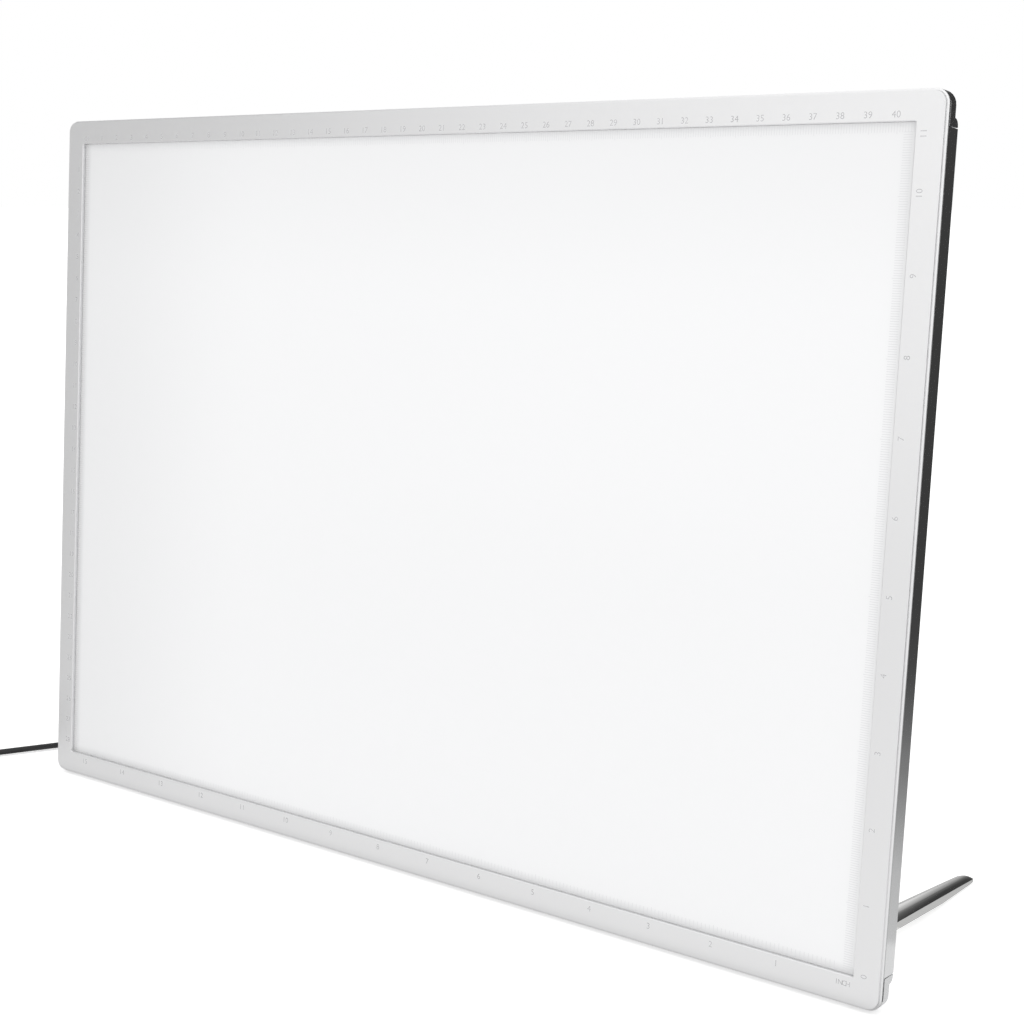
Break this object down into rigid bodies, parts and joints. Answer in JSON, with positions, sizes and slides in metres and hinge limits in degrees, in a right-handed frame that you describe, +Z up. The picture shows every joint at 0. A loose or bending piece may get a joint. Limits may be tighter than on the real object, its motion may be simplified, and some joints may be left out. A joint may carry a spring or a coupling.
{
  "type": "light box",
  "caption": "A3 LED tracing light box: milky lit panel in a slim silver frame with printed rulers, fold-out rear legs and a thin power cord.",
  "frame": {"origin": "on the table surface, midway across the width and midway between the front of the box and the tips of its legs", "axes": "+X along the long side of the panel, to the right as seen by someone facing it; -Y is the side the lit panel faces; +Z up"},
  "size_m": [0.5765, 0.1842, 0.3077],
  "materials": {
    "bezel": "satin anodised, fine bright chamfer",
    "rail": "smooth anodised extrusion",
    "cap": "satin die-cast corner",
    "panel": "milky acrylic, light satin",
    "film": "white film",
    "guide": "clear acrylic with printed dots",
    "led_board": "white solder mask with LEDs",
    "cover": "silver powder coat, fine texture",
    "screw": "zinc plated",
    "foot": "matt black rubber",
    "circuit": "green solder mask",
    "switch": "moulded",
    "button": "satin moulded",
    "lead": "PVC insulated wire",
    "cord": "black PVC jacket",
    "boot": "moulded black PVC",
    "leg": "polished steel",
    "bracket": "zinc plated pressed steel",
    "hinge_steel": "bright steel",
    "rivet": "zinc plated",
    "plug_shell": "nickel plated",
    "plug_tongue": "moulded white"
  },
  "bodies": {
    "box": {"front_bezel": "bezel", "face_panel": "panel", "diffuser_film": "film", "light_guide_plate": "guide", "reflector_sheet": "film", "bottom_led_strip": "led_board", "top_led_strip": "led_board", "back_cover": "cover", "bottom_rail": "rail", "top_rail": "rail", "left_rail": "rail", "right_rail": "rail", "bottom_left_corner_cap": "cap", "bottom_right_corner_cap": "cap", "top_left_corner_cap": "cap", "top_right_corner_cap": "cap", "bottom_left_cover_screw": "screw", "bottom_right_cover_screw": "screw", "top_left_cover_screw": "screw", "top_right_cover_screw": "screw", "bottom_left_rear_foot": "foot", "bottom_right_rear_foot": "foot", "top_left_rear_foot": "foot", "top_right_rear_foot": "foot", "control_board": "circuit", "tact_switch": "switch", "bottom_led_lead": "lead", "top_led_lead": "lead", "supply_lead": "cord", "left_leg_bracket": "bracket", "left_hinge_pin": "hinge_steel", "left_retaining_clip": "hinge_steel", "left_friction_washer": "hinge_steel", "left_bracket_rivet_a": "rivet", "left_bracket_rivet_b": "rivet", "right_leg_bracket": "bracket", "right_hinge_pin": "hinge_steel", "right_retaining_clip": "hinge_steel", "right_friction_washer": "hinge_steel", "right_bracket_rivet_a": "rivet", "right_bracket_rivet_b": "rivet", "cord_strain_relief": "boot", "power_cord": "cord", "cord_coil": "cord", "cord_tail": "cord", "usb_plug_body": "boot", "usb_plug_shell": "plug_shell", "usb_plug_tongue": "plug_tongue"},
    "left_leg": {"left_leg": "leg"},
    "right_leg": {"right_leg": "leg"},
    "power_button": {"power_button": "button"}
  },
  "joints": [
    {"name": "left_leg_fold", "type": "hinge", "parent": "box", "child": "left_leg", "pos_m": [-0.1885, -0.05273, 0.01101], "axis": [1, 0, 0], "range_deg": [0, 90.7]},
    {"name": "right_leg_fold", "type": "hinge", "parent": "box", "child": "right_leg", "pos_m": [0.1885, -0.05273, 0.01101], "axis": [1, 0, 0], "range_deg": [0, 90.7]},
    {"name": "power_button_press", "type": "slide", "parent": "box", "child": "power_button", "axis": [1, 0, 0], "range_m": [0, 0.0005], "stiffness_N_per_m": 300, "springref_m": -0.001}
  ]
}
